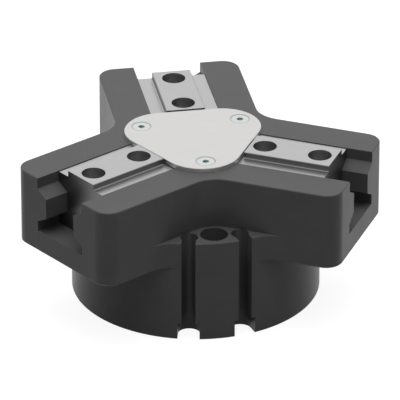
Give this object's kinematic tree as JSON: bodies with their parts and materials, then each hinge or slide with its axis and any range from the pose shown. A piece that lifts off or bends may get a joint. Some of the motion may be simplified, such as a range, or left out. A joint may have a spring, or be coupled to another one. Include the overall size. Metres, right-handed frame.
{
  "type": "three-jaw parallel gripper",
  "caption": "Compressed-air centric gripper with three arms on a round cylinder; its base jaws slide in T-slots, moved together by a piston and a wedge hook.",
  "frame": {"origin": "on the gripper's axis, in its base face", "axes": "+Z along the axis towards the jaws, +Y along the arm of base jaw 1, -Y towards the sensor grooves"},
  "size_m": [0.1446, 0.127, 0.0657],
  "materials": {
    "anodised": "hard-anodised black, fine matte",
    "plate": "brushed stainless sheet",
    "jaw": "ground hardened steel",
    "screw": "zinc-plated steel",
    "dark_screw": "blackened steel",
    "cap": "anodised black, turned",
    "piston": "hard-coated, turned",
    "hardened": "ground hardened steel",
    "spring": "phosphated spring steel",
    "bronze": "sintered bronze",
    "seal": "nitrile",
    "guide": "filled plastic strip",
    "magnet": "plastic-bonded ferrite"
  },
  "bodies": {
    "housing": {"housing": "anodised", "cover_plate": "plate", "cylinder_cap": "cap", "cap_seal": "seal", "retaining_ring": "spring", "rod_bush": "bronze", "rod_seal": "seal", "base_port_plug_1": "dark_screw", "base_port_plug_2": "dark_screw", "cover_screw_1": "screw", "cover_screw_2": "screw", "cover_screw_3": "screw"},
    "piston": {"piston": "piston", "magnet_ring": "magnet", "piston_seal": "seal", "piston_guide_ring": "guide", "wedge_hook": "hardened", "piston_screw": "dark_screw", "lock_washer": "screw"},
    "jaw_1": {"base_jaw_1": "jaw"},
    "jaw_2": {"base_jaw_2": "jaw"},
    "jaw_3": {"base_jaw_3": "jaw"}
  },
  "joints": [
    {"name": "piston_slide", "type": "slide", "parent": "housing", "child": "piston", "axis": [0, 0, 1], "range_m": [0, 0.012]},
    {"name": "jaw_slide_1", "type": "slide", "parent": "housing", "child": "jaw_1", "axis": [0, 1, 0], "range_m": [0, 0.008]},
    {"name": "jaw_slide_2", "type": "slide", "parent": "housing", "child": "jaw_2", "axis": [-0.866, -0.5, 0], "range_m": [0, 0.008]},
    {"name": "jaw_slide_3", "type": "slide", "parent": "housing", "child": "jaw_3", "axis": [0.866, -0.5, 0], "range_m": [0, 0.008]}
  ],
  "couplings": [
    {"joint": "jaw_slide_1", "follows": "piston_slide", "ratio": 0.66666},
    {"joint": "jaw_slide_2", "follows": "piston_slide", "ratio": 0.66666},
    {"joint": "jaw_slide_3", "follows": "piston_slide", "ratio": 0.66666}
  ]
}
